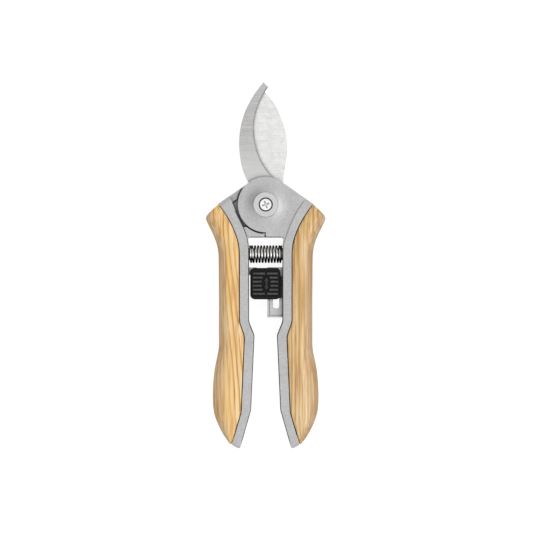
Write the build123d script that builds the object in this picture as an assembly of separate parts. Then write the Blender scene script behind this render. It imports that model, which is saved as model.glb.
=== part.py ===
"""Bypass secateurs with ash grips.

Two cast frames, a cutting blade, a hook blade, a pivot, a return spring and a slide lock, in millimetres.
The tool lies flat, closed: Z up, jaw tip towards +Y, origin on the pivot axis at the surface it lies on.
The hook handle is on +X, its pivot plate on top. The blade handle is the same casting turned over about Y.
"""

from build123d import *
import os
from math import cos, radians, sin, sqrt

# ---- driving dimensions: the whole tool ------------------------------------------------------------
GRIP_THICK = 19.0  # the ash grips, and so the whole tool
ARM_BOTTOM = 2.0  # an arm stands this far in from the grip's faces
ARM_IN_X = 9.35  # inner and outer faces of an arm, beside the spring
ARM_OUT_X = 14.85
ARM_EDGE = 0.45  # chamfer along an arm
ARM_END_R = 1.2  # corners of its lower end
END_BEVEL = 2.6  # face width of the bevels across both ends of an arm
SHOULDER_ANGLE = 55.0  # the way the straight shoulder faces

# ---- pivot plates, webs and blades -----------------------------------------------------------------
DISC_R = 15.5  # the round pivot plate
PLATE_THICK = 4.0
SWEEP_R = DISC_R + 0.95  # the other frame's web clears the disc by this radius
BOSS_R = 7.05
BOSS_RISE = 1.0
BOSS_EDGE = 0.15
FLARE_R = 14.0  # the plate rises from here towards the boss
FLARE_RISE = 0.8
WEB_Y = -18.3  # lower edge of the webs
WINDOW_CORNER = 1.3  # radius where a web meets its arm
STOP_GAP = 0.8  # between the two webs under the disc
STOP_X = -0.3  # middle of that gap, in the front half
STOP_STEP = 1.0  # the gap in the back half is this much further to -X, so nothing shows through
STOP_SPLIT = 0.1  # half the gap between front and back half
SHIELD_R = SWEEP_R - 0.25  # a tab on the blade handle's plate closes the gap from behind
WEB_EDGE = 0.4  # bevel along the lower edges of the webs
BLADE_THICK = 2.75
BLADE_GAP = 0.05  # running gap between the two blades
BLADE_BASE_R = 15.0
HOOK_BEVEL = 0.7  # along the hook's inner edge
BEVEL = 5.0  # how far the cutting blade's ground bevel runs in from its edge
KEEN = 0.15  # what the bevel leaves of the blade's thickness
TANG_LOW_Y = -11.8  # lower end of a blade's tang
TANG_INSET = 4.4  # upper edge of the tang, below the shoulder
TANG_CLEAR = 0.75  # round the tang, where it doesn't bear on its frame

# ---- return spring -------------------------------------------------------------------------------
SPRING_Y = -27.6
SPRING_R = 5.0
SPRING_WIRE = 1.1
SPRING_TURNS = 11
PEG_R = 3.4
PEG_LENGTH = 3.0

# ---- pivot hardware ------------------------------------------------------------------------------
SHANK_R = 2.9  # the pivot nut's shank
RUNNING = 0.06  # radial clearance of what turns on it
FIXED = 0.02  # clearance of what doesn't move
NUT_FLANGE_R = 6.3
NUT_FLANGE = 1.3
WASHER_R = 5.6
SPANNER_HOLE_X = 4.0
SPANNER_HOLE_R = 0.8
SPANNER_HOLE_DEPTH = 0.9
THREAD_R = 2.0
THREAD_LOW = 3.0  # lower end of the screw
HEAD_R = 3.2
HEAD_THICK = 2.2
HEAD_SEAT_R = 3.95
HEAD_SEAT = 2.6  # depth of the counterbore
RECESS_ARM = (4.2, 0.95)  # length and width of the cross recess's arms
RECESS_DEPTH = 1.3
RECESS_ANGLES = (20, 110)

# ---- thumb lock ----------------------------------------------------------------------------------
TRACK_THICK = 2.0
TRACK_LEFT_X = 0.9
TRACK_MID_Y = -48.9
TRACK_HEIGHT = 28.0
TRACK_LIP = 1.2  # width of the folded edges
TRACK_FOLD = 2.0  # how far the lower lip hangs down
TRACK_GROOVE = 0.4  # the crease along the folded edges, wide and deep
TONGUE_X = 10.2  # middle of the tongue that sits in the arm
TONGUE_REACH = 2.6
TONGUE_HEIGHT = 22.0
SLOT_X = 5.8
SLOT_WIDTH = 3.4
SLOT_TOP_Y = -38.6
SLOT_LOW_Y = -57.9
SLOT_CORNER = 1.25
PIN_R = 1.6  # the rivets that run in the slot
PIN_YS = (-42.0, -49.5)
PIN_LOW = 4.6
PIN_HIGH = 15.4
SLIDER_THICK = 1.5
SLIDER_LEFT_X = -7.9
SLIDER_RIGHT_X = 9.2
SLIDER_TOP_Y = -40.0
SLIDER_LOW_Y = -52.0
TOOTH_WIDTH = 1.2
TOOTH_TOP_Y = -38.4
TOOTH_LOW_Y = -43.5
BUTTON_X = -0.2
BUTTON_WIDTH = 16.8
BUTTON_TOP_Y = -35.3
BUTTON_HEIGHT = 17.5
BUTTON_CORNER = 2.6
BUTTON_EDGE = 0.9
BUTTON_LOW = 3.2
BUTTON_HIGH = 16.8
BUTTON_RIM = 1.2
RIB_COUNT = 6
RIB_PITCH = 2.25
RIB_DEPTH = 0.6
RIB_PROUD = 0.2  # the ribs stand this far above the rim
RIB_WIDTH = 1.35
RIB_EDGE = 0.25
RIB_REACH = 6.9  # the ribs end this far from the button's middle
OVAL = (2.6, 5.2)  # half sizes of the bare oval between them
OVAL_X = 0.4
LEAF_RECESS = 0.4
LEAF_SIZE = (4.6, 13.0)
CATCH_TOP_Y = -35.0
CATCH_ARM = 1.6
CATCH_TIP_X = 5.0
CATCH_LIP = 1.3
CATCH_LIP_LOW_Y = -37.9
CATCH_THICK = 1.3
CATCH_LEG = 1.0
CATCH_LEG_LOW_Y = -39.2
CATCH_TONGUE = (5.0, 3.6)  # the end that is let into the arm

# ---- fixing pins and screws ------------------------------------------------------------------------
ARM_PIN_X = 11.4  # pins through an arm, for the track and for the catch
ARM_PIN_R = 0.9
ARM_PIN_HIGH = 13.5  # their holes end here
TRACK_PIN_YS = (-41.0, -56.0)
CATCH_PIN_Y = -36.8
GRIP_SCREW_YS = (-80.0, -108.0)
GRIP_SCREW_R = 1.4
GRIP_SCREW_LENGTH = 12.0
GRIP_SCREW_HEAD_R = 2.7
GRIP_SCREW_HEAD = 1.6
GRIP_SCREW_SUNK = 0.5
GRIP_SCREW_CLEAR = 0.05

# ---- levels and places worked out from them --------------------------------------------------------
MID_Z = GRIP_THICK / 2  # the plane where the two blades meet
HOOK_LOW = MID_Z + BLADE_GAP / 2
HOOK_HIGH = HOOK_LOW + BLADE_THICK
PLATE_TOP = HOOK_HIGH + PLATE_THICK
BOSS_TOP = PLATE_TOP + BOSS_RISE
ARM_TOP = GRIP_THICK - ARM_BOTTOM
LAND_LOW = HOOK_LOW + 0.1  # the frame beside a blade's tang stays this clear of the other frame
WEB_BACK = GRIP_THICK - PLATE_TOP
TRACK_LOW = MID_Z - TRACK_THICK / 2
TRACK_HIGH = MID_Z + TRACK_THICK / 2
SLIDER_LOW = TRACK_HIGH + BLADE_GAP
SLIDER_HIGH = SLIDER_LOW + SLIDER_THICK
CATCH_MID_Z = (SLIDER_LOW + SLIDER_HIGH) / 2
BUTTON_Y = BUTTON_TOP_Y - BUTTON_HEIGHT / 2


# ---- helpers -------------------------------------------------------------------------------------
def slab(outline, low, high):
    """A face in the XY plane, as a solid from height low to high."""
    return extrude(Pos(0, 0, low) * outline, amount=high - low)


def rod(x, y, radius, low, high):
    """An upright cylinder."""
    return Pos(x, y, (low + high) / 2) * Cylinder(radius, high - low)


def rod_x(y, z, radius, start, end):
    """A cylinder along X."""
    return Pos((start + end) / 2, y, z) * Rot(0, 90, 0) * Cylinder(radius, abs(end - start))


def turned_over(shape):
    """Half a turn about the Y axis at mid height: makes the blade handle's casting from the hook handle's."""
    return Pos(0, 0, GRIP_THICK) * Rot(0, 180, 0) * shape


def polar(radius, degrees):
    return (radius * cos(radians(degrees)), radius * sin(radians(degrees)))


def on_shoulder(x, inset=0.0):
    """The point at x on the straight shoulder, or on a line inset below it."""
    normal = polar(1, SHOULDER_ANGLE)
    return (x, (DISC_R - inset - x * normal[0]) / normal[1])


# ---- plan outlines of the hook handle ------------------------------------------------------------
ARM_END_OUT = (19.1, -133.7)
ARM_END_IN = (14.4, -136.4)
ARM_TOP_OUT = on_shoulder(26.4)
ARM_TOP_IN = on_shoulder(20.4)
RIB_TOP = on_shoulder(22.2)  # upper end of the line between plate and raised arm
BEND_Y = -28.0  # the arms are straight from here to the lock
BELOW_LOCK_IN = (6.25, -72.9)  # the arm's inner face between the lock and the lower bend
LOWER_BEND_IN = (8.15, -114.6)


def arm_outer_line():
    """The face that the grip sits on, from the shoulder to the lower end."""
    upper = Spline(
        ARM_TOP_OUT, (21.2, -7.6), (17.3, -15.6), (ARM_OUT_X, BEND_Y),
        tangents=[(-0.5, -0.87), (0, -1)],
    )
    lower = FilletPolyline(
        (ARM_OUT_X, BEND_Y), (ARM_OUT_X, -65.3), (12.0, -73.4), (13.85, -115.6), ARM_END_OUT,
        radius=[8, 7, 9],
    )
    return upper + lower


def arm_inner_line():
    """The face towards the other handle, from the lower end to the shoulder."""
    lower = FilletPolyline(
        ARM_END_IN, LOWER_BEND_IN, BELOW_LOCK_IN, (ARM_IN_X, -65.2), (ARM_IN_X, BEND_Y),
        radius=[7, 5, 8],
    )
    upper = Spline(
        (ARM_IN_X, BEND_Y), (10.1, -18.8), (13.1, -11.0), (18.0, -0.6), ARM_TOP_IN,
        tangents=[(0, 1), (0.55, 0.84)],
    )
    return lower + upper


def arm_face():
    lower_end = Line(ARM_END_OUT, ARM_END_IN)
    upper_end = Line(ARM_TOP_IN, ARM_TOP_OUT)
    face = make_face(arm_outer_line() + lower_end + arm_inner_line() + upper_end)
    return fillet(face.vertices().sort_by(Axis.Y)[:2], ARM_END_R)


def rib_line():
    """Where the arm's raised face meets the pivot plate."""
    return Spline(
        RIB_TOP, (15.6, -7.4), (11.1, -19.0), (ARM_IN_X, BEND_Y),
        tangents=[(-0.52, -0.85), (0, -1)],
    )


def web_face(left):
    """What lies under the disc: from the stop face, at x = left, to the arm, with a rounded window corner."""
    into_arm = ARM_IN_X + 3.5
    into_disc = 10 - DISC_R
    outline = Polyline(
        (left, into_disc), (left, WEB_Y), (into_arm, WEB_Y), (into_arm, into_disc), (left, into_disc),
    )
    side = ARM_IN_X + 0.55  # where the arm's inner face is at this height
    quarter = Pos(WINDOW_CORNER / 2, WINDOW_CORNER / 2) * Rectangle(WINDOW_CORNER, WINDOW_CORNER)
    corner = Pos(side - WINDOW_CORNER, WEB_Y - WINDOW_CORNER) * (quarter - Circle(WINDOW_CORNER))
    return make_face(outline) + corner


def plate_face(left):
    """The pivot plate: disc, straight shoulder, and web from the stop face, at x = left, to the arm."""
    tangent = polar(DISC_R, SHOULDER_ANGLE)
    outline = Polyline(
        (0, 0), tangent, on_shoulder(23.2), (15.3, -10), (ARM_IN_X + 2.5, WEB_Y), (left, WEB_Y), (left, -10),
        (0, 0),
    )
    return Circle(DISC_R) + make_face(outline)


def tang_face(clear=0.0):
    """A blade's tang: it fills the corner between disc and arm, so that the blade can't turn in its frame."""
    inset = TANG_INSET - clear
    low = TANG_LOW_Y - clear
    outline = Polyline(
        (0, 0), on_shoulder(3, inset), on_shoulder(20, inset), (16, low), (0, low), (0, 0),
    )
    return make_face(outline) - arm_face()


# ---- the two cast frames -------------------------------------------------------------------------
def end_bevels(x, y, facing):
    """Cutters for the bevels along the upper and lower edge of an arm's end, which faces that way."""
    cutter = Rot(0, 0, facing) * Rot(0, 45, 0) * Box(END_BEVEL, 14, END_BEVEL)
    return [Pos(x, y, z) * cutter for z in (ARM_BOTTOM, ARM_TOP)]


def arm():
    body = slab(arm_face(), ARM_BOTTOM, ARM_TOP)
    flats = body.faces().sort_by(Axis.Z)
    body = chamfer(flats[0].outer_wire().edges() + flats[-1].outer_wire().edges(), ARM_EDGE)
    for cutter in end_bevels(*on_shoulder(23.5), SHOULDER_ANGLE):
        body -= cutter
    lower_end = Line(ARM_END_OUT, ARM_END_IN)
    middle = lower_end @ 0.5
    along = lower_end.tangent_angle_at(0.5)
    for cutter in end_bevels(middle.X, middle.Y, along + 90):
        body -= cutter
    return body


def above_plate():
    """The room over the pivot plate, up to the arm's raised face."""
    far = 25
    outline = rib_line() + Polyline(
        (ARM_IN_X, BEND_Y), (0, BEND_Y), (0, far), (RIB_TOP[0], far), RIB_TOP,
    )
    return slab(make_face(outline), PLATE_TOP, ARM_TOP + 1)


def arm_inner_x(y):
    """Where the arm's inner face is, below the lock."""
    (x0, y0), (x1, y1) = BELOW_LOCK_IN, LOWER_BEND_IN
    return x0 + (x1 - x0) * (y - y0) / (y1 - y0)


def grip_screw_shape(clear, length):
    """A countersunk screw along +Z, its head's face at zero."""
    start = (Align.CENTER, Align.CENTER, Align.MIN)
    head = Cone(GRIP_SCREW_HEAD_R + clear, GRIP_SCREW_R + clear, GRIP_SCREW_HEAD, align=start)
    return head + Cylinder(GRIP_SCREW_R + clear, length, align=start)


def in_arm(y, shape):
    """The shape laid along +X at a grip screw's place, its zero sunk into the arm's inner face."""
    return Pos(arm_inner_x(y) + GRIP_SCREW_SUNK, y, MID_Z) * Rot(0, 90, 0) * shape


def grip_screw(y):
    driver_slot = Box(0.7, 3.4, 1.4)
    return in_arm(y, grip_screw_shape(0, GRIP_SCREW_LENGTH) - driver_slot)


def grip_screw_hole(y):
    mouth = Cylinder(GRIP_SCREW_HEAD_R + GRIP_SCREW_CLEAR, 2.0, align=(Align.CENTER, Align.CENTER, Align.MAX))
    return in_arm(y, grip_screw_shape(GRIP_SCREW_CLEAR, GRIP_SCREW_LENGTH + 0.5) + mouth)


def flare():
    """The plate's rise towards the boss: steep beside the boss, running out flat near the disc's rim."""
    foot = (FLARE_R, 0, PLATE_TOP)
    head = (BOSS_R - 1, 0, PLATE_TOP + FLARE_RISE + 0.2)
    curve = Spline(foot, (BOSS_R + 1.6, 0, PLATE_TOP + 0.5 * FLARE_RISE), head)
    below = Polyline(head, (BOSS_R - 1, 0, HOOK_HIGH), (FLARE_R, 0, HOOK_HIGH), foot)
    return revolve(make_face(curve + below), axis=Axis.Z)


def boss():
    body = rod(0, 0, BOSS_R, HOOK_HIGH, BOSS_TOP)
    return chamfer(body.edges().filter_by(GeomType.CIRCLE).sort_by(Axis.Z)[-1], BOSS_EDGE)


def web_bevels():
    """Cutters for the bevels along the upper and lower side of the webs' window edge."""
    width = WEB_EDGE * 2 ** 0.5
    cutter = Rot(45, 0, 0) * Box(2 * ARM_IN_X - 1, width, width)
    return [Pos(0, WEB_Y, z) * cutter for z in (WEB_BACK, PLATE_TOP)]


def frame(counterbored, upper_stop, lower_stop):
    """A casting, plate up. The counterbored one takes the screw's head; the stops are x positions."""
    plate = plate_face(upper_stop)
    swept = Circle(SWEEP_R)
    below_tang = Pos(6, TANG_LOW_Y - TANG_CLEAR - 5) * Rectangle(20, 10)
    body = arm() - above_plate()
    body += slab(plate, HOOK_HIGH, PLATE_TOP)
    body += slab(plate - swept - tang_face(clear=TANG_CLEAR), LAND_LOW, HOOK_HIGH)
    body += slab((web_face(upper_stop) & below_tang) - swept, MID_Z - STOP_SPLIT, HOOK_HIGH)
    body += slab((web_face(lower_stop) & below_tang) - swept, WEB_BACK, MID_Z - STOP_SPLIT)
    body += boss() + flare()
    for cutter in web_bevels():
        body -= cutter
    body += rod_x(SPRING_Y, MID_Z, PEG_R, ARM_IN_X - PEG_LENGTH, ARM_IN_X + 1)
    body -= rod(0, 0, SHANK_R + (FIXED if counterbored else RUNNING), 0, GRIP_THICK)
    if counterbored:
        body -= rod(0, 0, HEAD_SEAT_R, BOSS_TOP - HEAD_SEAT, GRIP_THICK)
    for y in GRIP_SCREW_YS:
        body -= grip_screw_hole(y)
    return body


def hook_frame():
    stop = STOP_X + STOP_GAP / 2
    body = frame(counterbored=True, upper_stop=stop, lower_stop=stop - STOP_STEP)
    body -= Pos(TONGUE_X, TRACK_MID_Y, MID_Z) * Box(
        2 * (TONGUE_REACH + FIXED), TONGUE_HEIGHT + 2 * FIXED, TRACK_THICK + 2 * FIXED)
    for y in TRACK_PIN_YS:
        body -= rod(ARM_PIN_X, y, ARM_PIN_R, 0, ARM_PIN_HIGH)
    return body


def blade_frame():
    stop = STOP_GAP / 2 - STOP_X
    shield = Circle(SHIELD_R) & Pos(0, -DISC_R) * Rectangle(2 * (stop + STOP_STEP) + 2, 4)
    casting = frame(counterbored=False, upper_stop=stop + STOP_STEP, lower_stop=stop)
    casting += slab(shield, HOOK_HIGH, PLATE_TOP - 1)
    body = turned_over(casting)
    body -= catch_tongue(FIXED)
    return body - rod(-ARM_PIN_X, CATCH_PIN_Y, ARM_PIN_R, 0, ARM_PIN_HIGH)


# ---- the ash grips -------------------------------------------------------------------------------
# Each row crosses the grip: a point on the arm's outer face, one on the outer edge, the half thickness.
GRIP_ROWS = [
    ((26.4, 0.3), (33.6, -6.2), 8.6),
    ((22.4, -5.6), (32.6, -10.4), 9.7),
    ((18.7, -12.6), (28.9, -17.6), 9.9),
    ((15.7, -20.2), (26.8, -24.6), 9.9),
    ((14.85, -30.0), (26.25, -31.5), 9.9),
    ((14.85, -62.0), (26.1, -62.0), 9.9),
    ((12.0, -75.0), (26.15, -76.0), 9.9),
    ((12.6, -88.0), (27.8, -88.0), 9.9),
    ((13.4, -104.0), (29.5, -104.0), 9.9),
    ((14.2, -117.0), (28.5, -117.5), 9.8),
    ((16.4, -125.0), (25.2, -125.8), 9.2),
    ((18.9, -133.5), (20.3, -133.2), 7.2),
]
GRIP_PROFILE = [(0.0, 0.79), (0.16, 0.9), (0.42, 1.0), (0.68, 0.94), (0.88, 0.69)]  # across, height


def grip_row(inner, outer, half):
    """One closed cross-section, standing on the line from the inner to the outer point."""

    def at(across, height):
        x = inner[0] + across * (outer[0] - inner[0])
        y = inner[1] + across * (outer[1] - inner[1])
        return (x, y, MID_Z + height * half)

    into_arm = (-0.25, 0.66)
    upper = [at(u, h) for u, h in [into_arm, *GRIP_PROFILE]]
    lower = [at(u, -h) for u, h in reversed([into_arm, *GRIP_PROFILE])]
    skin = Spline(*upper, at(1.0, 0.0), *lower)
    return make_face(skin + Line(lower[-1], upper[0]))


def grip_plan():
    """The grip seen from above."""
    shoulder = (32.4, -5.6)
    tip = (19.4, -133.75)
    outer = Spline(
        shoulder, (33.2, -7.9), (29.7, -15.9), (27.0, -23.5), (26.2, -33.0), (26.1, -74.7), (28.0, -89.2),
        (29.55, -105.0), (28.8, -116.0), (25.0, -126.4), tip,
    )
    return make_face(arm_outer_line() + Line(ARM_TOP_OUT, shoulder) + outer + Line(ARM_END_OUT, tip))


def grip():
    rounded = loft([grip_row(*row) for row in GRIP_ROWS])
    body = slab(grip_plan(), 0, GRIP_THICK) & rounded
    for y in GRIP_SCREW_YS:
        body -= grip_screw_hole(y)
    return body


# ---- blades --------------------------------------------------------------------------------------
def hook_blade():
    outer_base = polar(BLADE_BASE_R, 128)
    inner_base = polar(BLADE_BASE_R, 52)
    outer_tip = (-1.17, 68.4)
    inner_tip = (1.34, 65.6)
    outer = Spline(
        outer_base, (-11.7, 16.5), (-14.5, 28.3), (-14.6, 38.9), (-11.7, 51.3), (-4.8, 63.8), outer_tip,
    )
    inner = Spline(
        inner_tip, (-3.46, 57.1), (-6.54, 45.4), (-5.87, 34.7), (-2.96, 25.6), (2.68, 17.0), inner_base,
    )
    close = Polyline(inner_base, (0, 0), outer_base)
    jaw = slab(make_face(outer + Line(outer_tip, inner_tip) + inner + close), HOOK_LOW, HOOK_HIGH)
    curves = jaw.edges().filter_by(GeomType.BSPLINE)
    rim = curves.filter_by_position(Axis.Z, HOOK_HIGH, HOOK_HIGH).sort_by(Axis.X)[-1]
    jaw = chamfer(rim, HOOK_BEVEL)
    body = jaw + slab(Circle(BLADE_BASE_R) + tang_face(), HOOK_LOW, HOOK_HIGH)
    return body - rod(0, 0, SHANK_R + FIXED, 0, GRIP_THICK)


def cutting_blade():
    low = GRIP_THICK - HOOK_HIGH
    high = GRIP_THICK - HOOK_LOW
    spine_base = polar(BLADE_BASE_R, 50)
    edge_base = polar(BLADE_BASE_R, 122)
    tip = (-0.9, 63.4)
    spine = Spline(spine_base, (11.2, 22.9), (12.1, 32.0), (9.61, 45.9), (5.87, 54.7), tip)
    edge = Spline(tip, (-7.6, 51.3), (-9.2, 41.8), (-8.9, 30.6), edge_base)
    body = slab(make_face(spine + edge + Polyline(edge_base, (0, 0), spine_base)), low, high)
    curves = body.edges().filter_by(GeomType.BSPLINE)
    keen = curves.filter_by_position(Axis.Z, low, low).sort_by(Axis.X)[0]
    side = [f for f in body.faces() if keen in f.edges() and abs(f.center().Z - low) > 0.5][0]
    body = chamfer(keen, BLADE_THICK - KEEN, BEVEL, reference=side)
    body += rod(0, 0, BLADE_BASE_R, low, high)
    body += slab(mirror(tang_face(), about=Plane.YZ), low, high)
    return body - rod(0, 0, SHANK_R + RUNNING, 0, GRIP_THICK)


# ---- pivot hardware ------------------------------------------------------------------------------
def pivot_screw():
    seat = BOSS_TOP - HEAD_SEAT
    body = rod(0, 0, HEAD_R, seat, seat + HEAD_THICK) + rod(0, 0, THREAD_R - FIXED, THREAD_LOW, seat)
    for angle in RECESS_ANGLES:
        body -= Pos(0, 0, seat + HEAD_THICK) * Rot(0, 0, angle) * Box(*RECESS_ARM, 2 * RECESS_DEPTH)
    return body


def pivot_nut():
    body = rod(0, 0, NUT_FLANGE_R, 0, NUT_FLANGE) + rod(0, 0, SHANK_R, 0, BOSS_TOP - HEAD_SEAT - 0.2)
    body = chamfer(body.edges().filter_by(GeomType.CIRCLE).sort_by(Axis.Z)[0], 0.3)
    body -= rod(0, 0, THREAD_R, THREAD_LOW - 0.8, GRIP_THICK)
    for x in (-SPANNER_HOLE_X, SPANNER_HOLE_X):
        body -= rod(x, 0, SPANNER_HOLE_R, 0, SPANNER_HOLE_DEPTH)
    return body


def pivot_washer():
    under_boss = GRIP_THICK - BOSS_TOP
    return rod(0, 0, WASHER_R, NUT_FLANGE, under_boss - 0.03) - rod(0, 0, SHANK_R + 0.2, 0, under_boss)


# ---- return spring -------------------------------------------------------------------------------
def return_spring():
    mean = SPRING_R - SPRING_WIRE / 2
    end = ARM_IN_X - SPRING_WIRE / 2 - 0.05
    pitch = 2 * end / SPRING_TURNS
    path = Helix(pitch, 2 * end, mean, center=(-end, SPRING_Y, MID_Z), direction=(1, 0, 0))
    return sweep(Plane(path @ 0, z_dir=path % 0) * Circle(SPRING_WIRE / 2), path=path, is_frenet=True)


# ---- thumb lock ----------------------------------------------------------------------------------
def lock_track():
    width = ARM_IN_X - TRACK_LEFT_X
    middle = (TRACK_LEFT_X + ARM_IN_X) / 2
    low_y = TRACK_MID_Y - TRACK_HEIGHT / 2
    tongue_end = TONGUE_X + TONGUE_REACH
    body = Pos(middle, TRACK_MID_Y, MID_Z) * Box(width, TRACK_HEIGHT, TRACK_THICK)
    body += Pos((ARM_IN_X + tongue_end) / 2, TRACK_MID_Y, MID_Z) * Box(
        tongue_end - ARM_IN_X, TONGUE_HEIGHT, TRACK_THICK)
    body += Pos(middle, low_y + TRACK_LIP / 2, TRACK_LOW - TRACK_FOLD / 2) * Box(width, TRACK_LIP, TRACK_FOLD)
    body -= Pos(middle, low_y + TRACK_LIP, TRACK_HIGH) * Box(width, TRACK_GROOVE, 2 * TRACK_GROOVE)
    body -= Pos(TRACK_LEFT_X + TRACK_LIP, TRACK_MID_Y, TRACK_HIGH) * Box(
        TRACK_GROOVE, TRACK_HEIGHT, 2 * TRACK_GROOVE)
    slot = RectangleRounded(SLOT_WIDTH, SLOT_TOP_Y - SLOT_LOW_Y, SLOT_CORNER)
    body -= slab(Pos(SLOT_X, (SLOT_TOP_Y + SLOT_LOW_Y) / 2) * slot, 0, GRIP_THICK)
    for y in TRACK_PIN_YS:
        body -= rod(ARM_PIN_X, y, ARM_PIN_R, 0, GRIP_THICK)
    return body


def arm_pin(x, y):
    return rod(x, y, ARM_PIN_R - FIXED, ARM_BOTTOM + 0.3, ARM_PIN_HIGH - 0.2)


def catch_tongue(clear=0.0):
    """The catch's end, let into the blade handle's arm."""
    length, height = CATCH_TONGUE
    return Pos(-ARM_PIN_X, CATCH_TOP_Y - height / 2, CATCH_MID_Z) * Box(
        length + clear, height + 2 * clear, CATCH_THICK + 2 * clear)


def lock_catch():
    """A hook on the blade handle. The lock's tooth slides up between its leg and its lip."""

    def bar(left, right, low_y):
        height = CATCH_TOP_Y - low_y
        return Pos((left + right) / 2, low_y + height / 2) * Rectangle(right - left, height)

    outline = bar(-ARM_IN_X, -CATCH_TIP_X, CATCH_TOP_Y - CATCH_ARM)
    outline += bar(-ARM_IN_X, -ARM_IN_X + CATCH_LEG, CATCH_LEG_LOW_Y)
    outline += bar(-CATCH_TIP_X - CATCH_LIP, -CATCH_TIP_X, CATCH_LIP_LOW_Y)
    low = CATCH_MID_Z - CATCH_THICK / 2
    body = slab(outline, low, low + CATCH_THICK) + catch_tongue()
    return body - rod(-ARM_PIN_X, CATCH_PIN_Y, ARM_PIN_R, 0, GRIP_THICK)


def lock_holes(low, high, clear=FIXED):
    return [rod(SLOT_X, y, PIN_R + clear, low, high) for y in PIN_YS]


def lock_slider_plate():
    width = SLIDER_RIGHT_X - SLIDER_LEFT_X
    height = SLIDER_TOP_Y - SLIDER_LOW_Y
    plate = Pos(SLIDER_LEFT_X + width / 2, SLIDER_LOW_Y + height / 2) * Rectangle(width, height)
    body = slab(plate - tooth_outline(FIXED), SLIDER_LOW, SLIDER_HIGH)
    for hole in lock_holes(0, GRIP_THICK):
        body -= hole
    return body


def tooth_outline(clear=0.0):
    height = TOOTH_TOP_Y - TOOTH_LOW_Y
    middle = Pos(SLIDER_LEFT_X + TOOTH_WIDTH / 2, TOOTH_LOW_Y + height / 2)
    return middle * Rectangle(TOOTH_WIDTH + 2 * clear, height + 2 * clear)


def lock_tooth():
    """A hard key let into the slider plate's corner. It goes up into the catch."""
    return slab(tooth_outline(), SLIDER_LOW, SLIDER_HIGH)


def button_block(low, high):
    outline = RectangleRounded(BUTTON_WIDTH, BUTTON_HEIGHT, BUTTON_CORNER)
    return slab(Pos(BUTTON_X, BUTTON_Y) * outline, low, high)


def ribbed(body, face_z, inward):
    """Sinks a panel into the button's face and stands the finger ribs in it. inward is -1 or 1 along Z."""
    panel = RectangleRounded(
        BUTTON_WIDTH - 2 * BUTTON_RIM, BUTTON_HEIGHT - 2 * BUTTON_RIM, BUTTON_CORNER - BUTTON_RIM)
    body -= extrude(Pos(BUTTON_X, BUTTON_Y, face_z) * panel, amount=RIB_DEPTH, dir=(0, 0, inward))
    rib_height = RIB_DEPTH + RIB_PROUD
    middle_z = face_z + inward * (RIB_DEPTH - rib_height / 2)
    for row in range(RIB_COUNT):
        y = (row - (RIB_COUNT - 1) / 2) * RIB_PITCH
        bare = OVAL[0] * sqrt(max(0.05, 1 - (y / OVAL[1]) ** 2))
        for start, end in ((-RIB_REACH, OVAL_X - bare), (OVAL_X + bare, RIB_REACH)):
            place = Pos(BUTTON_X + (start + end) / 2, BUTTON_Y + y, middle_z)
            rib = place * Box(end - start, RIB_WIDTH, rib_height)
            outer = rib.faces().sort_by(Axis.Z)[0 if inward > 0 else -1]
            body += chamfer(outer.edges().filter_by(Axis.X), RIB_EDGE)
    return body


def lock_button():
    body = button_block(SLIDER_HIGH, BUTTON_HIGH)
    body = chamfer(body.faces().sort_by(Axis.Z)[-1].outer_wire().edges(), BUTTON_EDGE)
    body = ribbed(body, BUTTON_HIGH, -1)
    for hole in lock_holes(0, PIN_HIGH + 0.1):
        body -= hole
    return body


def lock_back_button():
    high = TRACK_LOW - BLADE_GAP
    body = button_block(BUTTON_LOW, high)
    body = chamfer(body.faces().sort_by(Axis.Z)[0].outer_wire().edges(), BUTTON_EDGE)
    body = ribbed(body, BUTTON_LOW, 1)
    body -= slab(leaf_outline(0.1), high - LEAF_RECESS, TRACK_LOW)
    for hole in lock_holes(PIN_LOW - 0.1, GRIP_THICK):
        body -= hole
    return body


def leaf_outline(clear=0.0):
    width, height = LEAF_SIZE
    return Pos(SLOT_X, sum(PIN_YS) / 2) * Rectangle(width + 2 * clear, height + 2 * clear)


def lock_friction_spring():
    body = slab(leaf_outline(), TRACK_LOW - BLADE_GAP - LEAF_RECESS, TRACK_LOW - BLADE_GAP)
    for hole in lock_holes(0, GRIP_THICK, 0.1):
        body -= hole
    return body


def lock_rivets():
    return [rod(SLOT_X, y, PIN_R, PIN_LOW, PIN_HIGH) for y in PIN_YS]


# ---- write the parts -----------------------------------------------------------------------------
def write(name, *shapes):
    whole = shapes[0] if len(shapes) == 1 else Compound(children=list(shapes))
    export_step(whole, f"parts/{name}.step")


os.makedirs("parts", exist_ok=True)
write("hook_frame", hook_frame())
write("hook_grip", grip())
write("hook_grip_screws", *[grip_screw(y) for y in GRIP_SCREW_YS])
write("hook_blade", hook_blade())
write("pivot_screw", pivot_screw())
write("pivot_nut", pivot_nut())
write("pivot_washer", pivot_washer())
write("lock_track", lock_track())
write("track_pins", *[arm_pin(ARM_PIN_X, y) for y in TRACK_PIN_YS])
write("blade_frame", blade_frame())
write("blade_grip", turned_over(grip()))
write("blade_grip_screws", *[turned_over(grip_screw(y)) for y in GRIP_SCREW_YS])
write("cutting_blade", cutting_blade())
write("lock_catch", lock_catch())
write("catch_pin", arm_pin(-ARM_PIN_X, CATCH_PIN_Y))
write("return_spring", return_spring())
write("lock_slider_plate", lock_slider_plate())
write("lock_tooth", lock_tooth())
write("lock_button", lock_button())
write("lock_back_button", lock_back_button())
write("lock_friction_spring", lock_friction_spring())
write("lock_rivets", *lock_rivets())
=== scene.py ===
"""Looks for the bypass secateurs: camera, light, materials, and the pieces that replace plain CAD solids.

Sizes are in metres, in the CAD's frame: Z up, jaw tip towards +Y, origin under the pivot.
"""

import math

import bmesh
import bpy
import numpy as np
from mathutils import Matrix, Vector
from mathutils.bvhtree import BVHTree


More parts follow.
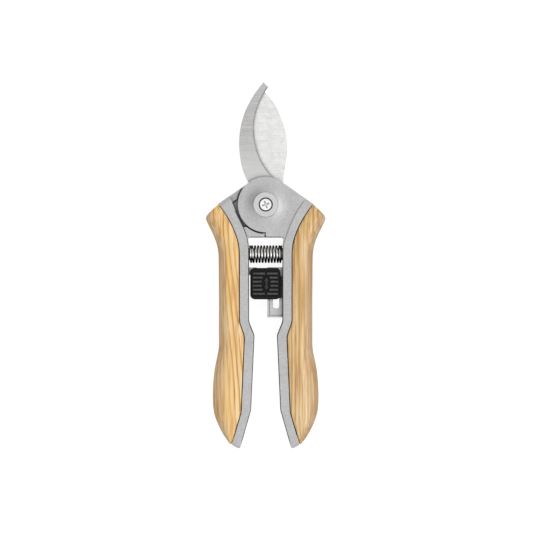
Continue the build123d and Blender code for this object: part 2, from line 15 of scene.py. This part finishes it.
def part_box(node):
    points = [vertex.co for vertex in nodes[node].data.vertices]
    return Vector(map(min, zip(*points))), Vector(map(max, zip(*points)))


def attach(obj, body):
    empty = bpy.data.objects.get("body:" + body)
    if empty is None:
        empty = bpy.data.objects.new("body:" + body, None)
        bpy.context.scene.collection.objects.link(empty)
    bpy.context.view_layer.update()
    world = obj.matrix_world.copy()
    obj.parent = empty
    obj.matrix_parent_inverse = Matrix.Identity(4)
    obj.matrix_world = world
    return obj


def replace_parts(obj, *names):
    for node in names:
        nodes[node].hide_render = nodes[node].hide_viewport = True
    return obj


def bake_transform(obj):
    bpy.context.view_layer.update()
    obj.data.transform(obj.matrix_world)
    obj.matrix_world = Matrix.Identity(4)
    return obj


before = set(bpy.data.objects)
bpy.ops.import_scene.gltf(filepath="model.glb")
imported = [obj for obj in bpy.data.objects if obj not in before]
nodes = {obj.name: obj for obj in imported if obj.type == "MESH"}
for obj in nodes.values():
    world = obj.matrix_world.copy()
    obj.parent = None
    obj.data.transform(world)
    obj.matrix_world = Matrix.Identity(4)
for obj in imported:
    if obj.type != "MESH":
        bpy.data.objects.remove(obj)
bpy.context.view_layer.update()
MM = 0.001

# ---- camera: straight down on the tool, long lens ------------------------------------------------
VIEW_WIDTH = 297.7 * MM  # what the square picture spans at mid height
VIEW_CENTRE = (0.45 * MM, -34.5 * MM)
CAMERA_HEIGHT = 2.0
SENSOR = 36.0
MID_Z = 9.5 * MM

camera_data = bpy.data.cameras.new("camera")
camera_data.sensor_width = SENSOR
camera_data.lens = SENSOR * CAMERA_HEIGHT / VIEW_WIDTH
camera = bpy.data.objects.new("camera", camera_data)
camera.location = (VIEW_CENTRE[0], VIEW_CENTRE[1], CAMERA_HEIGHT + MID_Z)
bpy.context.scene.collection.objects.link(camera)
bpy.context.scene.camera = camera
bpy.context.scene.view_settings.view_transform = "Standard"


# ---- helpers: materials --------------------------------------------------------------------------
def grey(value):
    return (value, value, value)


class Material:
    """A node material. Its functions add nodes, and most return the socket with the result.

    place is where a point lies in the object's coordinates, and facing is its normal there.
    """

    def __init__(self, name):
        self.data = bpy.data.materials.new(name)
        self.data.use_nodes = True
        self.tree = self.data.node_tree
        self.shader = self.tree.nodes["Principled BSDF"]
        coordinates = self.add("ShaderNodeTexCoord").outputs
        self.place = coordinates["Object"]
        self.facing = coordinates["Normal"]

    def add(self, kind, inputs=None, **settings):
        """A new node, with its settings, and with its inputs linked to sockets or set to values."""
        node = self.tree.nodes.new(kind)
        for key, value in settings.items():
            setattr(node, key, value)
        for key, value in (inputs or {}).items():
            self.feed(node.inputs[key], value)
        return node

    def feed(self, socket, value):
        if isinstance(value, bpy.types.NodeSocket):
            self.tree.links.new(value, socket)
        else:
            socket.default_value = value

    def surface(self, **inputs):
        """Feeds the shader's inputs, named with _ in place of spaces."""
        for key, value in inputs.items():
            self.feed(self.shader.inputs[key.replace("_", " ")], value)

    def stretched(self, scale, turn):
        """Object coordinates, scaled and then turned. A texture runs long where the scale is small."""
        inputs = {"Vector": self.place, "Scale": scale, "Rotation": turn}
        return self.add("ShaderNodeMapping", inputs).outputs[0]

    def noise(self, scale, vector=None, detail=4.0, roughness=0.6):
        """Noise between 0 and 1, with about scale spots to the metre."""
        inputs = {"Vector": vector or self.place, "Scale": scale, "Detail": detail, "Roughness": roughness}
        return self.add("ShaderNodeTexNoise", inputs).outputs["Fac"]

    def ramp(self, value, *stops):
        """A colour ramp from (position, colour) pairs."""
        node = self.add("ShaderNodeValToRGB", {"Fac": value})
        elements = node.color_ramp.elements
        while len(elements) < len(stops):
            elements.new(0.5)
        for element, (position, colour) in zip(elements, stops):
            element.position = position
            element.color = (*colour, 1.0)
        return node.outputs["Color"]

    def levels(self, value, low, high, start=0.0, end=1.0):
        """A number between start and end, as value goes from low to high."""
        return self.add("ShaderNodeMapRange", {
            "Value": value, "From Min": low, "From Max": high, "To Min": start, "To Max": end,
        }).outputs[0]

    def math(self, operation, a, b=0.0):
        return self.add("ShaderNodeMath", {0: a, 1: b}, operation=operation).outputs[0]

    def mix(self, factor, a, b, blend="MIX"):
        inputs = {"Factor": factor, 6: a, 7: b}
        return self.add("ShaderNodeMix", inputs, data_type="RGBA", blend_type=blend).outputs[2]

    def parts(self, vector):
        """A vector's x, y and z."""
        return self.add("ShaderNodeSeparateXYZ", {"Vector": vector}).outputs

    def distance(self, value, start):
        """How far value is from start, on either side."""
        return self.math("ABSOLUTE", self.math("SUBTRACT", value, start))

    def depth(self):
        """Distance from mid height."""
        return self.distance(self.parts(self.place)[2], MID_Z)

    def painted_crevice_shade(self, colour, reach, dark):
        """The colour, darkened where other surfaces stand close: painted shade in joints, gaps and
        recesses.
        """
        open_air = self.add("ShaderNodeAmbientOcclusion", {"Distance": reach}, samples=12).outputs["AO"]
        shaded = self.mix(1.0, colour, (*grey(dark), 1), "MULTIPLY")
        return self.mix(self.levels(open_air, 0.15, 0.85), shaded, colour)

    def relief(self, height, depth, edge=0.0):
        """Bumps of that depth, on edges rounded over by the radius edge."""
        inputs = {"Height": height, "Distance": depth, "Strength": 1.0}
        if edge:
            inputs["Normal"] = self.add("ShaderNodeBevel", {"Radius": edge}, samples=6).outputs[0]
        self.surface(Normal=self.add("ShaderNodeBump", inputs).outputs[0])


# ---- materials -----------------------------------------------------------------------------------
RING_WIDTH = 2.7 * MM  # between two growth rings of the ash
FRONT_LEAN = 0.3  # a grip's wood has its front's tone where it leans outwards less than this,
SIDE_LEAN = 0.65  # and its side's tone, painted shading, where it leans more than this
PALE = (0.96, 0.78, 0.50, 1.0)  # the ash's lightest fibres
PORE = (0.30, 0.13, 0.03, 1.0)  # its dark pores
SPRING_Y = -27.6 * MM  # the return spring's axis
TANG_Y = 6 * MM  # below this a blade is tang, darkened as painted shade
ROOT_FAR_Y = 38 * MM  # towards its root a blade gets lighter from here
ROOT_NEAR_Y = 20 * MM  # to here
RIB_LOW = 7.25 * MM  # the thumb buttons' ribs get a painted grey highlight from this far from mid height,
RIB_TOP = 7.45 * MM  # and the full painted highlight from here
BOSS_FACE = 7.75 * MM  # a boss's face is this far from mid height
# At an arm's ends, set by these, the bevels get a painted highlight in place of painted shade.
ARM_MIDDLE_Y = -66 * MM
ARM_REACH = 62 * MM  # an arm's ends are further than this from its middle,
ARM_IN_X = 13 * MM  # and further out than this
FLOOR_BOUNCE = 0.3  # how much of the light the floor throws back on the tool
FLOOR_GLOW = 0.17  # light that comes through the floor, so that the tool's back isn't black


def cast_aluminium():
    """Light grey, blasted. Walls and bevels get painted shade, with a painted highlight instead at an arm's
    ends, and joints get painted shade. A boss is turned.
    """
    m = Material("cast_aluminium")
    speckle = m.noise(1500, detail=4, roughness=0.75)
    clouds = m.noise(90, detail=3)
    tone = m.math("ADD", m.math("MULTIPLY", speckle, 0.8), m.math("MULTIPLY", clouds, 0.2))
    metal = m.ramp(tone, (0.3, grey(0.36)), (0.7, grey(0.61)))
    turned = m.levels(m.depth(), BOSS_FACE - 0.15 * MM, BOSS_FACE, 0.0, 0.45)
    metal = m.mix(turned, metal, (*grey(0.72), 1))
    x, y = m.parts(m.place)[:2]
    end = m.levels(m.distance(y, ARM_MIDDLE_Y), ARM_REACH, ARM_REACH + 1 * MM)
    end = m.math("MULTIPLY", end, m.levels(m.math("ABSOLUTE", x), ARM_IN_X, ARM_IN_X + 1 * MM))
    # Faces that lean from level get painted shade, and at an arm's ends a painted highlight.
    painted_bevel_shading = m.levels(m.math("ABSOLUTE", m.parts(m.facing)[2]), 0.9, 0.75)
    metal = m.mix(painted_bevel_shading, metal, m.mix(end, (*grey(0.15), 1), (*grey(0.85), 1)))
    m.surface(
        # Painted shade in joints, gaps and recesses.
        Base_Color=m.painted_crevice_shade(metal, 3.0 * MM, 0.12),
        Metallic=0.85,
        Roughness=m.levels(speckle, 0.3, 0.7, 0.34, 0.46),
    )
    m.relief(speckle, 0.04 * MM, edge=0.15 * MM)
    return m.data


def ash(name, seed, tilt, early, middle, late, side):
    """Ash: pale early wood with thin late-wood lines along the handle, and on the grip's rounded side a
    side tone that is painted shading.

    seed picks the piece of wood. tilt is how far the lines lean from the handle's direction.
    """
    m = Material(name)
    early, middle, late, side = [(*colour, 1) for colour in (early, middle, late, side)]
    shift = (0.37 * seed, 0.11 * seed, 0)
    shifted = m.add("ShaderNodeVectorMath", {0: m.place, 1: shift}, operation="ADD").outputs[0]

    def grain(scale, stretch, detail=2.0):
        """Noise drawn out along the handle."""
        along = m.add("ShaderNodeMapping", {"Vector": shifted, "Scale": (1, stretch, 1)}).outputs[0]
        return m.noise(scale, along, detail=detail)

    def centred(value, amount):
        """A number from 0 to 1, made into one that spans amount and is centred on 0."""
        return m.math("MULTIPLY", m.math("SUBTRACT", value, 0.5), amount)

    x, y = m.parts(m.place)[:2]
    across = m.math("ADD", x, m.math("MULTIPLY", y, tilt))
    across = m.math("ADD", across, m.math("MULTIPLY", m.depth(), 0.4))
    across = m.math("ADD", across, centred(grain(26, 0.3), 9 * MM))
    across = m.math("ADD", across, centred(grain(130, 0.12, 3), 2.4 * MM))
    ring = m.math("FRACT", m.math("MULTIPLY", across, 1 / RING_WIDTH))
    wood = m.mix(m.levels(grain(60, 0.15), 0.38, 0.62), early, middle)
    line = m.math("MULTIPLY", m.levels(ring, 0.5, 0.86), m.levels(ring, 1.0, 0.9))
    strength = m.levels(grain(90, 0.1, 1), 0.36, 0.56, 0.3, 1.0)
    wood = m.mix(m.math("MULTIPLY", line, strength), wood, late)
    # The side tone is painted shading where the grip rounds away from the front.
    lean = m.math("MULTIPLY", m.parts(m.facing)[0], m.math("SIGN", x))
    lean = m.math("ADD", lean, centred(grain(160, 0.06), 0.3))
    painted_side_shading = m.mix(m.math("MULTIPLY", line, 0.8), side, m.mix(0.5, side, late))
    wood = m.mix(m.levels(lean, FRONT_LEAN, SIDE_LEAN, 0.0, 0.85), wood, painted_side_shading)
    streak = grain(700, 0.045)
    wood = m.mix(m.levels(streak, 0.51, 0.66, 0.0, 0.8), wood, m.mix(0.25, late, side))
    wood = m.mix(m.levels(streak, 0.46, 0.33, 0.0, 0.65), wood, PALE)
    fibre = grain(1300, 0.04)
    pore = m.math("MULTIPLY", m.levels(fibre, 0.58, 0.68), m.levels(line, 0.1, 0.6))
    wood = m.mix(m.math("MULTIPLY", pore, 0.45), wood, PORE)
    m.surface(
        # Painted shade where the wood meets the frame.
        Base_Color=m.painted_crevice_shade(wood, 1.5 * MM, 0.45),
        Roughness=m.levels(fibre, 0.3, 0.7, 0.46, 0.62),
        Coat_Weight=0.1,
        Coat_Roughness=0.35,
    )
    m.relief(m.math("SUBTRACT", fibre, pore), 0.05 * MM)
    return m.data


def brushed(name, dark, light, rough, turn, mottle=0.35, metallic=0.85, tang=None, root=None):
    """Ground steel: fine scratches along X and a soft mottle. Another turn gives other scratches.

    A blade's tang can be a darker tone, painted shade where it lies in the frame's pocket, and its root,
    next to the pivot disc, a lighter one.
    """
    m = Material(name)
    lines = m.noise(1300, m.stretched((0.05, 1, 1), (0, 0, turn)), detail=4, roughness=0.7)
    spots = m.noise(380, detail=5, roughness=0.7)
    tone = m.math("ADD", m.math("MULTIPLY", lines, 1 - mottle), m.math("MULTIPLY", spots, mottle))
    colour = m.ramp(tone, (0.34, dark), (0.66, light))
    y = m.parts(m.place)[1]
    if root:
        colour = m.mix(m.levels(y, ROOT_FAR_Y, ROOT_NEAR_Y, 0.0, 0.6), colour, (*grey(root), 1))
    # A darker tang: painted shade where it lies in the frame's pocket.
    if tang:
        colour = m.mix(m.levels(y, TANG_Y, TANG_Y + 2 * MM), (*grey(tang), 1), colour)
    m.surface(
        # Painted shade in joints and gaps.
        Base_Color=m.painted_crevice_shade(colour, 2.0 * MM, 0.3),
        Metallic=metallic,
        Roughness=m.levels(lines, 0.3, 0.7, rough - 0.06, rough + 0.08),
    )
    m.relief(lines, 0.012 * MM, edge=0.12 * MM)
    return m.data


def black_plastic():
    """Moulded black plastic: satin, with a fine spark-eroded grain; the proud ribs get a painted grey
    highlight.
    """
    m = Material("black_plastic")
    grain = m.noise(2200, detail=2)
    wear = m.levels(m.noise(500, detail=4), 0.3, 0.65, 0.45, 1.0)
    # Painted highlight on the ribs' tops, broken up by noise.
    painted_highlight = m.math("MULTIPLY", m.levels(m.depth(), RIB_LOW, RIB_TOP), wear)
    m.surface(
        # Painted shade in joints and gaps.
        Base_Color=m.painted_crevice_shade(m.mix(painted_highlight, (*grey(0.008), 1), (*grey(0.10), 1)), 1.2 * MM, 0.1),
        Roughness=m.levels(grain, 0.3, 0.7, 0.44, 0.58),
        Specular_IOR_Level=0.14,
    )
    m.relief(grain, 0.02 * MM, edge=0.2 * MM)
    return m.data


def dark_steel(name, tone, rough):
    """Blackened steel: dark oxide with a few brighter worn patches. On the lock's slider plate and tooth
    its near-black tone is also painted shade in the gaps around them.
    """
    m = Material(name)
    wear = m.noise(700, detail=5, roughness=0.7)
    m.surface(
        Base_Color=m.ramp(wear, (0.35, grey(tone)), (0.72, grey(tone * 2.2))),
        Metallic=0.8,
        Roughness=m.levels(wear, 0.3, 0.7, rough, rough + 0.12),
    )
    m.relief(wear, 0.01 * MM, edge=0.1 * MM)
    return m.data


def spring_steel():
    """Wire darkened to near black as painted shade, with a painted highlight along the outside of the
    coil's front and back, leaning towards +Y.
    """
    m = Material("spring_steel")
    wear = m.noise(900, detail=4)
    y = m.parts(m.place)[1]
    # Painted highlight where the wire is furthest out from mid height, shifted towards +Y; painted shade
    # elsewhere.
    out = m.math("ADD", m.depth(), m.math("MULTIPLY", m.math("SUBTRACT", y, SPRING_Y), 0.25))
    painted_highlight = m.math("MULTIPLY", m.levels(out, 3.3 * MM, 4.5 * MM), m.levels(wear, 0.25, 0.6, 0.75, 1.0))
    m.surface(
        Base_Color=m.ramp(painted_highlight, (0.0, grey(0.015)), (0.45, grey(0.16)), (1.0, (0.97, 0.95, 0.92))),
        Metallic=0.9,
        Roughness=m.levels(wear, 0.3, 0.7, 0.2, 0.3),
    )
    m.relief(wear, 0.005 * MM)
    return m.data


def floor_material():
    """White paper that throws less light on the tool than it shows. It is clear from below."""
    m = Material("floor_paper")
    fibre = m.noise(40, detail=3)
    m.surface(
        Base_Color=m.ramp(fibre, (0.2, grey(0.24)), (0.8, grey(0.26))),
        Roughness=0.9,
        Specular_IOR_Level=0.1,
        Emission_Color=(1, 1, 1, 1),
        Emission_Strength=0.92,
    )
    bounce = m.add("ShaderNodeBsdfDiffuse", {"Color": (*grey(FLOOR_BOUNCE), 1)}).outputs[0]
    glow = m.add("ShaderNodeEmission", {"Strength": FLOOR_GLOW}).outputs[0]
    bounce = m.add("ShaderNodeAddShader", {0: bounce, 1: glow}).outputs[0]
    seen = m.add("ShaderNodeLightPath").outputs["Is Camera Ray"]
    front = m.add("ShaderNodeMixShader", {0: seen, 1: bounce, 2: m.shader.outputs[0]}).outputs[0]
    back = m.add("ShaderNodeNewGeometry").outputs["Backfacing"]
    clear = m.add("ShaderNodeBsdfTransparent").outputs[0]
    shown = m.add("ShaderNodeMixShader", {0: back, 1: front, 2: clear})
    m.tree.links.new(shown.outputs[0], m.tree.nodes["Material Output"].inputs["Surface"])
    return m.data


ALUMINIUM = cast_aluminium()
# The side tones are painted shading: painted shade on the right grip, and on the left grip a lighter tone,
# painted light against the dark card's shade there.
ASH_RIGHT = ash(
    "ash_wood_right", seed=1, tilt=0.02,
    early=(0.88, 0.63, 0.34), middle=(0.82, 0.54, 0.23), late=(0.52, 0.26, 0.06), side=(0.62, 0.43, 0.26),
)
ASH_LEFT = ash(
    "ash_wood_left", seed=7, tilt=0.075,
    early=(0.94, 0.67, 0.31), middle=(0.90, 0.57, 0.20), late=(0.58, 0.24, 0.02), side=(0.95, 0.66, 0.38),
)
HOOK_STEEL = brushed("hook_steel", grey(0.38), (0.62, 0.61, 0.60), 0.42, 0.5, root=0.68)
# Its tang tone is painted shade.
BLADE_STEEL = brushed(
    "blade_steel", (0.62, 0.62, 0.61), (0.87, 0.87, 0.85), 0.38, -0.45, mottle=0.5, tang=0.2,
)
ZINC_STEEL = brushed("zinc_steel", grey(0.42), grey(0.60), 0.36, 0.2)
SHEET_STEEL = brushed("stainless_sheet", grey(0.46), grey(0.68), 0.40, math.pi / 2)
SCREW_STEEL = brushed("bright_screw", grey(0.60), grey(0.95), 0.2, 0.8, metallic=1.0)
DARK_STEEL = dark_steel("dark_steel", 0.03, 0.38)
SPRING_STEEL = spring_steel()
PLASTIC = black_plastic()

CAD_LOOKS = {
    "hook_frame": ALUMINIUM, "blade_frame": ALUMINIUM,
    "hook_grip_screws": ZINC_STEEL, "blade_grip_screws": ZINC_STEEL,
    "hook_blade": HOOK_STEEL, "cutting_blade": BLADE_STEEL,
    "pivot_screw": SCREW_STEEL, "pivot_nut": ZINC_STEEL, "pivot_washer": ZINC_STEEL,
    "lock_track": SHEET_STEEL, "track_pins": ZINC_STEEL,
    "lock_catch": SHEET_STEEL, "catch_pin": ZINC_STEEL,
    # Near black: on the slider plate and tooth this is partly painted shade.
    "lock_slider_plate": DARK_STEEL, "lock_tooth": DARK_STEEL,
    "lock_button": PLASTIC, "lock_back_button": PLASTIC,
    "lock_friction_spring": ZINC_STEEL, "lock_rivets": ZINC_STEEL,
}
for node_name, look in CAD_LOOKS.items():
    mesh = nodes[node_name].data
    mesh.materials.clear()
    mesh.materials.append(look)


# ---- helpers: meshes -----------------------------------------------------------------------------
def new_piece(name, vertices, faces, material, body, crease=40):
    """A mesh that rides on the body, if there is one. Edges sharper than crease degrees stay sharp."""
    mesh = bpy.data.meshes.new(name)
    mesh.from_pydata([tuple(v) for v in vertices], [], faces)
    mesh.update()
    cleaner = bmesh.new()
    cleaner.from_mesh(mesh)
    bmesh.ops.recalc_face_normals(cleaner, faces=cleaner.faces)
    cleaner.to_mesh(mesh)
    cleaner.free()
    mesh.shade_smooth()
    mesh.set_sharp_from_angle(angle=math.radians(crease))
    mesh.materials.append(material)
    piece = bpy.data.objects.new(name, mesh)
    bpy.context.scene.collection.objects.link(piece)
    if body:
        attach(piece, body)
    return piece


def through(points, count):
    """A smooth curve through the points, sampled evenly by length. Natural cubic, one row per sample."""
    points = np.array(points, float)
    at = np.concatenate([[0], np.cumsum(np.linalg.norm(np.diff(points[:, :2], axis=0), axis=1))])
    gap = np.diff(at)
    size = len(points)
    system = np.eye(size)
    wanted = np.zeros_like(points)
    for k in range(1, size - 1):
        system[k, k - 1:k + 2] = gap[k - 1], 2 * (gap[k - 1] + gap[k]), gap[k]
        wanted[k] = 6 * ((points[k + 1] - points[k]) / gap[k] - (points[k] - points[k - 1]) / gap[k - 1])
    bend = np.linalg.solve(system, wanted)
    samples = []
    for s in np.linspace(0, at[-1], count):
        k = min(np.searchsorted(at, s, side="right") - 1, size - 2)
        left, right, h = s - at[k], at[k + 1] - s, gap[k]
        samples.append(
            (bend[k] * right ** 3 + bend[k + 1] * left ** 3) / (6 * h)
            + (points[k] / h - bend[k] * h / 6) * right
            + (points[k + 1] / h - bend[k + 1] * h / 6) * left
        )
    return np.array(samples)


def ring_faces(rings, points):
    """Quads between neighbouring closed rings, and a cap at each end."""
    faces = [list(range(points)), [(rings - 1) * points + k for k in reversed(range(points))]]
    for r in range(rings - 1):
        for k in range(points):
            n = (k + 1) % points
            faces.append([r * points + k, r * points + n, (r + 1) * points + n, (r + 1) * points + k])
    return faces


# ---- ash grips -----------------------------------------------------------------------------------
# Each row crosses the grip, in mm: a point at the frame's outer face, a point on the outer edge, and the
# half thickness there.
GRIP_ROWS = [
    (26.3, 0.2, 32.2, -5.2, 8.4),
    (25.5, -0.9, 33.0, -6.4, 9.0),
    (24.5, -2.5, 33.35, -7.9, 9.35),
    (23.2, -4.6, 32.7, -9.8, 9.5),
    (21.2, -7.8, 31.0, -13.3, 9.5),
    (18.6, -12.8, 28.7, -18.2, 9.5),
    (15.8, -20.0, 26.8, -24.4, 9.5),
    (14.85, -30.0, 26.25, -31.5, 9.5),
    (14.85, -46.0, 26.15, -46.5, 9.5),
    (14.85, -62.0, 26.1, -62.0, 9.5),
    (12.6, -71.5, 26.1, -72.5, 9.5),
    (12.1, -79.0, 26.25, -80.0, 9.5),
    (12.6, -89.0, 28.0, -89.2, 9.5),
    (13.3, -101.0, 29.35, -101.0, 9.5),
    (13.7, -110.0, 29.45, -110.0, 9.5),
    (14.3, -117.0, 28.5, -117.5, 9.45),
    (15.8, -122.6, 26.3, -123.2, 9.2),
    (17.4, -128.0, 23.5, -128.6, 8.6),
    (18.9, -133.3, 19.9, -133.5, 7.2),
]
GRIP_RINGS = 170
GRIP_HALF_RING = 30
GRIP_CREST = 0.52  # where across the grip it starts to fall away
HEIGHT_AT_JOINT = 0.88  # its height where it meets the frame, as a part of its full height
FALL_START = 1.7  # exponents of the rounded side: a higher first one keeps the crest flat for longer,
FALL_END = 1.9  # and a higher second one makes the outer edge blunter
EDGE_DROP = 0.05  # the joint's edge is rounded down by this part of the height
GRIP_EDGE = 0.5  # rounding along the joint with the frame, in mm
JOINT_GAP = 0.04  # between wood and frame, in mm
PROBE_Z = 13.5 * MM  # height at which the frame's outer face is looked for, clear of screws and chamfers


def grip_height(across, width):
    """Height above the middle, as a part of the half thickness. across goes from 0 at the frame to 1."""
    rise = HEIGHT_AT_JOINT + (1 - HEIGHT_AT_JOINT) * math.sin(math.pi / 2 * min(across / GRIP_CREST, 1))
    fall = (1 - max(0.0, (across - GRIP_CREST) / (1 - GRIP_CREST)) ** FALL_START) ** (1 / FALL_END)
    from_joint = min(across * width / GRIP_EDGE, 1)
    rounding = 1 - math.sqrt(1 - (1 - from_joint) ** 2)
    return rise * fall - EDGE_DROP * rounding


def grip_vertices():
    """The right-hand grip, as closed rings across it that start at the frame's outer face."""
    surface = nodes["hook_frame"].data
    tree = BVHTree.FromPolygons([v.co for v in surface.vertices], [p.vertices for p in surface.polygons])
    vertices = []
    for inner_x, inner_y, outer_x, outer_y, half in through(GRIP_ROWS, GRIP_RINGS):
        outer = Vector((outer_x, outer_y)) * MM
        inner = Vector((inner_x, inner_y)) * MM
        towards = (inner - outer).normalized()
        hit = tree.ray_cast((*outer, PROBE_Z), (*towards, 0), (inner - outer).length + 2 * MM)[0]
        if hit is not None:
            inner = hit.xy - towards * JOINT_GAP * MM
        width = (outer - inner).length / MM
        steps = [0.5 - 0.5 * math.cos(math.pi * k / GRIP_HALF_RING) for k in range(GRIP_HALF_RING + 1)]
        ring = [(u, grip_height(u, width)) for u in steps]
        ring += [(u, -h) for u, h in reversed(ring[:-1])]
        for u, h in ring:
            spot = inner.lerp(outer, u)
            vertices.append((spot.x, spot.y, MID_Z + h * half * MM))
    return np.array(vertices)


def make_grips():
    """Both grips are one shape, mirrored. Each has wood of its own, with its own painted shading on the
    rounded side.
    """
    right = grip_vertices()
    faces = ring_faces(GRIP_RINGS, 2 * GRIP_HALF_RING + 1)
    left = right * (-1, 1, 1)
    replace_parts(new_piece("ash_grip_right", right, faces, ASH_RIGHT, "hook_handle"), "hook_grip")
    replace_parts(new_piece("ash_grip_left", left, faces, ASH_LEFT, "blade_handle"), "blade_grip")


# ---- return spring -------------------------------------------------------------------------------
SPRING_MEAN_R = 4.45 * MM
WIRE_R = 0.55 * MM
SPRING_TURNS = 11.0
CLOSED_TURNS = 1.0  # at each end, wound close
CLOSED_PITCH = 2.1 * WIRE_R  # of those turns, which all but touch
STEPS_PER_TURN = 40
WIRE_SIDES = 14


def make_spring():
    """A round wire, wound along X from arm to arm."""
    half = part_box("return_spring")[1].x - WIRE_R
    count = int(SPRING_TURNS * STEPS_PER_TURN)
    turns = np.linspace(0, SPRING_TURNS, count + 1)
    middle = (turns[:-1] > CLOSED_TURNS) & (turns[:-1] < SPRING_TURNS - CLOSED_TURNS)
    open_step = (2 * half - CLOSED_PITCH * 2 * CLOSED_TURNS) / middle.sum()
    steps = np.where(middle, open_step, CLOSED_PITCH / STEPS_PER_TURN)
    along = -half + np.concatenate([[0], np.cumsum(steps)])
    vertices = []
    for turn, x in zip(turns, along):
        angle = 2 * math.pi * turn
        out = np.array([0, math.cos(angle), math.sin(angle)])
        centre = np.array([x, SPRING_Y, MID_Z]) + out * SPRING_MEAN_R
        for k in range(WIRE_SIDES):
            side = 2 * math.pi * k / WIRE_SIDES
            vertices.append(centre + WIRE_R * (math.cos(side) * out + math.sin(side) * np.array([1, 0, 0])))
    spring = new_piece("coil_spring", vertices, ring_faces(count + 1, WIRE_SIDES), SPRING_STEEL, None)
    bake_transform(spring)
    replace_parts(spring, "return_spring")


# ---- button mark ---------------------------------------------------------------------------------
ARROW_BELOW_RIBS = 0.15 * MM
ARROW_THICK = 0.75 * MM
ARROW_RIGHT = 0.6 * MM  # how far right of the button's middle it stands
ARROW_TOP_SCALE = (0.7 * MM, 0.85 * MM)  # its top is smaller than its foot
# Its right half from the upper tip down, in mm. The left half is the same, turned round.
ARROW_SIDE = [(0, 4.2), (1.9, 1.6), (0.75, 1.6), (0.75, -1.6), (1.9, -1.6)]


def make_button_mark():
    """A plain up-and-down arrow in the middle of the thumb button: which way it slides."""
    low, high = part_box("lock_button")
    middle_x = (low.x + high.x) / 2 + ARROW_RIGHT
    middle_y = (low.y + high.y) / 2
    top_z = high.z - ARROW_BELOW_RIBS
    outline = ARROW_SIDE + [(-x, -y) for x, y in ARROW_SIDE]
    vertices = [(middle_x + x * MM, middle_y + y * MM, top_z - ARROW_THICK) for x, y in outline]
    scale_x, scale_y = ARROW_TOP_SCALE
    vertices += [(middle_x + x * scale_x, middle_y + y * scale_y, top_z) for x, y in outline]
    mark = new_piece("button_arrow", vertices, ring_faces(2, len(outline)), PLASTIC, "lock", crease=25)


# ---- floor and light -----------------------------------------------------------------------------
FLOOR_REACH = 3.0
TENT_EDGE = 0.25  # the tent gets brighter above this height on a unit sphere
HORIZON = 0.5
ZENITH = 1.23
CARD_DIRECTION = Vector((-0.62, 0.25, 0.74)).normalized()  # where the tent's dark card hangs
CARD_EDGE = 0.8  # cosine of its half angle
CARD_TONE = 0.0
LAMP_PLACE = Vector((1.2, -0.2, 1.5))
LAMP_AIM = Vector((0, -0.03, 0))
LAMP_SIZE = 1.0
LAMP_POWER = 8


def make_floor():
    corners = [(-1, -1), (1, -1), (1, 1), (-1, 1)]
    vertices = [(x * FLOOR_REACH, y * FLOOR_REACH, 0) for x, y in corners]
    floor = new_piece("floor", vertices, [(0, 1, 2, 3)], floor_material(), None)


def make_tent():
    """The world: a soft tent, brightest overhead, with a dark card in it."""
    world = bpy.data.worlds.new("studio")
    world.use_nodes = True
    tree = world.node_tree

    def levels(value, low, start, end):
        """A number between start and end, as value goes from low to 1."""
        node = tree.nodes.new("ShaderNodeMapRange")
        node.inputs["From Min"].default_value = low
        node.inputs["To Min"].default_value = start
        node.inputs["To Max"].default_value = end
        tree.links.new(value, node.inputs["Value"])
        return node.outputs[0]

    direction = tree.nodes.new("ShaderNodeTexCoord").outputs["Generated"]
    split = tree.nodes.new("ShaderNodeSeparateXYZ")
    tree.links.new(direction, split.inputs[0])
    towards_card = tree.nodes.new("ShaderNodeVectorMath")
    towards_card.operation = "DOT_PRODUCT"
    towards_card.inputs[1].default_value = CARD_DIRECTION
    tree.links.new(direction, towards_card.inputs[0])
    shaded = tree.nodes.new("ShaderNodeMath")
    shaded.operation = "MULTIPLY"
    tree.links.new(levels(split.outputs["Z"], TENT_EDGE, HORIZON, ZENITH), shaded.inputs[0])
    tree.links.new(levels(towards_card.outputs["Value"], CARD_EDGE, 1.0, CARD_TONE), shaded.inputs[1])
    tree.links.new(shaded.outputs[0], tree.nodes["Background"].inputs["Color"])
    bpy.context.scene.world = world


def make_lamp():
    """A weak, broad lamp, across from the card."""
    data = bpy.data.lights.new("key", "AREA")
    data.size = LAMP_SIZE
    data.energy = LAMP_POWER
    lamp = bpy.data.objects.new("key", data)
    lamp.location = LAMP_PLACE
    lamp.rotation_euler = (LAMP_AIM - LAMP_PLACE).to_track_quat("-Z", "Y").to_euler()
    bpy.context.scene.collection.objects.link(lamp)


make_grips()
make_spring()
make_button_mark()
make_floor()
make_tent()
make_lamp()
